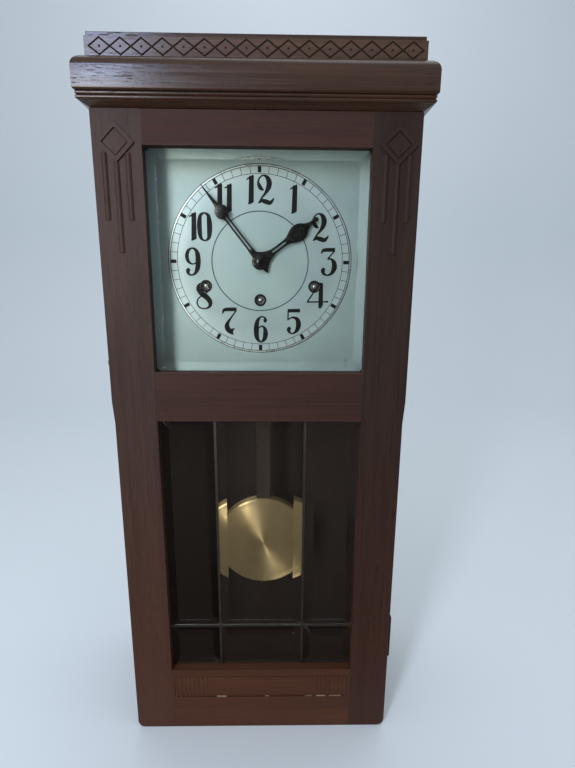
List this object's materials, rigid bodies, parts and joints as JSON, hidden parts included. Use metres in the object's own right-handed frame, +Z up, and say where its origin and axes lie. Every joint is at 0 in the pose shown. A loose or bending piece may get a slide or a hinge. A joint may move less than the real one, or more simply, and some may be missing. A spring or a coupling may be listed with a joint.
{
  "type": "pendulum wall clock",
  "caption": "Dark oak wall clock with a glazed door, silvered square dial, stepped cornice, spring-driven movement, and a pendulum with a round brass bob behind bevelled panes.",
  "frame": {"origin": "middle of the clock's base, on the plane the base stands on", "axes": "+X to the viewer's right, the door faces -Y, +Z up"},
  "size_m": [0.3156, 0.1748, 0.7279],
  "materials": {
    "oak_case": "fumed oak, dark red-brown, waxed",
    "oak_door": "fumed oak, dark red-brown, waxed",
    "glass": "clear plate glass with ground and polished bevels",
    "came_metal": "dull grey metal strips",
    "steel": "satin steel",
    "brass_fittings": "lacquered brass",
    "brass_works": "plain brass plates and wheels",
    "silvered": "silvered metal, matt, with black printed figures",
    "blackened": "blackened steel",
    "rod_wood": "dark stained hardwood",
    "bob_brass": "spun brass with fine concentric turning lines",
    "gong_steel": "dark steel rods in a painted iron block"
  },
  "bodies": {
    "case": {"left_side": "oak_case", "right_side": "oak_case", "base_board": "oak_case", "top_board": "oak_case", "back_board": "oak_case", "cornice_front": "oak_case", "cornice_left": "oak_case", "cornice_right": "oak_case", "cap_board": "oak_case", "hanger_plate": "steel", "case_screws": "steel", "seat_board": "oak_case", "hinge_case_leaves": "brass_fittings", "hinge_pins": "brass_fittings", "hinge_case_screws": "brass_fittings", "latch_screw": "brass_fittings", "dial_plate": "silvered", "winding_collets": "blackened", "front_plate": "brass_works", "back_plate": "brass_works", "pillars": "steel", "pillar_nuts": "steel", "clicks": "steel", "gong_block": "gong_steel"},
    "door": {"door_left_stile": "oak_door", "door_right_stile": "oak_door", "door_top_rail": "oak_door", "door_mid_rail": "oak_door", "door_bottom_rail": "oak_door", "upper_glass": "glass", "lower_panes": "glass", "cames": "came_metal", "glazing_beads": "oak_door", "hinge_door_leaves": "brass_fittings", "hinge_door_screws": "brass_fittings", "latch_stud": "brass_fittings"},
    "hook": {"latch_hook": "brass_fittings"},
    "pendulum": {"suspension_spring": "steel", "pendulum_rod": "rod_wood", "rod_fittings": "brass_fittings"},
    "bob": {"pendulum_bob": "bob_brass"},
    "nut": {"rating_nut": "brass_fittings"},
    "anchor": {"pallet_anchor": "steel"},
    "escape": {"escape_wheel": "brass_works"},
    "third": {"third_wheel": "brass_works"},
    "centre": {"centre_wheel": "brass_works"},
    "second": {"second_wheel": "brass_works"},
    "barrel": {"time_barrel": "brass_works"},
    "strike_drum": {"strike_barrel": "brass_works"},
    "chime_drum": {"chime_barrel": "brass_works"},
    "time_key_arbor": {"time_arbor": "steel"},
    "strike_key_arbor": {"strike_arbor": "steel"},
    "chime_key_arbor": {"chime_arbor": "steel"},
    "minute": {"minute_hand": "blackened", "hand_nut": "steel", "cannon_pinion": "steel"},
    "motion": {"minute_wheel": "brass_works"},
    "hour": {"hour_hand": "blackened", "hour_wheel": "brass_works"},
    "hammer_gang": {"hammers": "steel"}
  },
  "joints": [
    {"name": "door_hinge", "type": "hinge", "parent": "case", "child": "door", "pos_m": [0.1512, -0.05545, 0.34], "axis": [0, 0, 1], "range_deg": [0, 160]},
    {"name": "latch_turn", "type": "hinge", "parent": "case", "child": "hook", "pos_m": [-0.1494, -0.0316, 0.44], "axis": [1, 0, 0], "range_deg": [-90, 0]},
    {"name": "pendulum_swing", "type": "hinge", "parent": "case", "child": "pendulum", "pos_m": [0, 0.0224, 0.591], "axis": [0, 1, 0], "range_deg": [-3.5, 3.5]},
    {"name": "bob_adjust", "type": "slide", "parent": "pendulum", "child": "bob", "axis": [0, 0, 1], "range_m": [-0.005, 0.005]},
    {"name": "nut_turn", "type": "hinge", "parent": "bob", "child": "nut", "pos_m": [0, 0.0224, 0.127], "axis": [0, 0, 1], "range_deg": [-3620, 3620]},
    {"name": "anchor_rock", "type": "hinge", "parent": "case", "child": "anchor", "pos_m": [0, 0.0074, 0.591], "axis": [0, 1, 0], "range_deg": [-3.6, 3.6]},
    {"name": "escape_spin", "type": "hinge", "parent": "case", "child": "escape", "pos_m": [0, -0.0076, 0.571], "axis": [0, 1, 0], "continuous": true},
    {"name": "third_spin", "type": "hinge", "parent": "case", "child": "third", "pos_m": [-0.01056, -0.0076, 0.55698], "axis": [0, 1, 0], "continuous": true},
    {"name": "centre_spin", "type": "hinge", "parent": "case", "child": "centre", "pos_m": [0, -0.0076, 0.54], "axis": [0, 1, 0], "continuous": true},
    {"name": "second_spin", "type": "hinge", "parent": "case", "child": "second", "pos_m": [0.01638, -0.0076, 0.52685], "axis": [0, 1, 0], "continuous": true},
    {"name": "barrel_spin", "type": "hinge", "parent": "case", "child": "barrel", "pos_m": [0, -0.0076, 0.5016], "axis": [0, 1, 0], "continuous": true},
    {"name": "strike_spin", "type": "hinge", "parent": "case", "child": "strike_drum", "pos_m": [-0.0557, -0.0076, 0.5156], "axis": [0, 1, 0], "continuous": true},
    {"name": "chime_spin", "type": "hinge", "parent": "case", "child": "chime_drum", "pos_m": [0.0557, -0.0076, 0.5156], "axis": [0, 1, 0], "continuous": true},
    {"name": "time_wind", "type": "hinge", "parent": "case", "child": "time_key_arbor", "pos_m": [0, -0.0076, 0.5016], "axis": [0, 1, 0], "continuous": true},
    {"name": "strike_wind", "type": "hinge", "parent": "case", "child": "strike_key_arbor", "pos_m": [-0.0557, -0.0076, 0.5156], "axis": [0, 1, 0], "continuous": true},
    {"name": "chime_wind", "type": "hinge", "parent": "case", "child": "chime_key_arbor", "pos_m": [0.0557, -0.0076, 0.5156], "axis": [0, 1, 0], "continuous": true},
    {"name": "minute_spin", "type": "hinge", "parent": "case", "child": "minute", "pos_m": [0, -0.0476, 0.54], "axis": [0, 1, 0], "continuous": true},
    {"name": "motion_spin", "type": "hinge", "parent": "case", "child": "motion", "pos_m": [0.0168, -0.0326, 0.54], "axis": [0, 1, 0], "continuous": true},
    {"name": "hour_spin", "type": "hinge", "parent": "case", "child": "hour", "pos_m": [0, -0.0436, 0.54], "axis": [0, 1, 0], "continuous": true},
    {"name": "hammer_lift", "type": "hinge", "parent": "case", "child": "hammer_gang", "pos_m": [0, 0.0194, 0.616], "axis": [1, 0, 0], "range_deg": [0, 15]}
  ],
  "couplings": [
    {"joint": "nut_turn", "follows": "bob_adjust", "rad_per_m": 12566},
    {"joint": "anchor_rock", "follows": "pendulum_swing", "ratio": 1},
    {"joint": "third_spin", "follows": "escape_spin", "ratio": -0.11429},
    {"joint": "centre_spin", "follows": "escape_spin", "ratio": 0.012698},
    {"joint": "second_spin", "follows": "escape_spin", "ratio": -0.0021164},
    {"joint": "barrel_spin", "follows": "escape_spin", "ratio": 0.00027847},
    {"joint": "motion_spin", "follows": "minute_spin", "ratio": -0.33333},
    {"joint": "hour_spin", "follows": "minute_spin", "ratio": 0.083333}
  ]
}
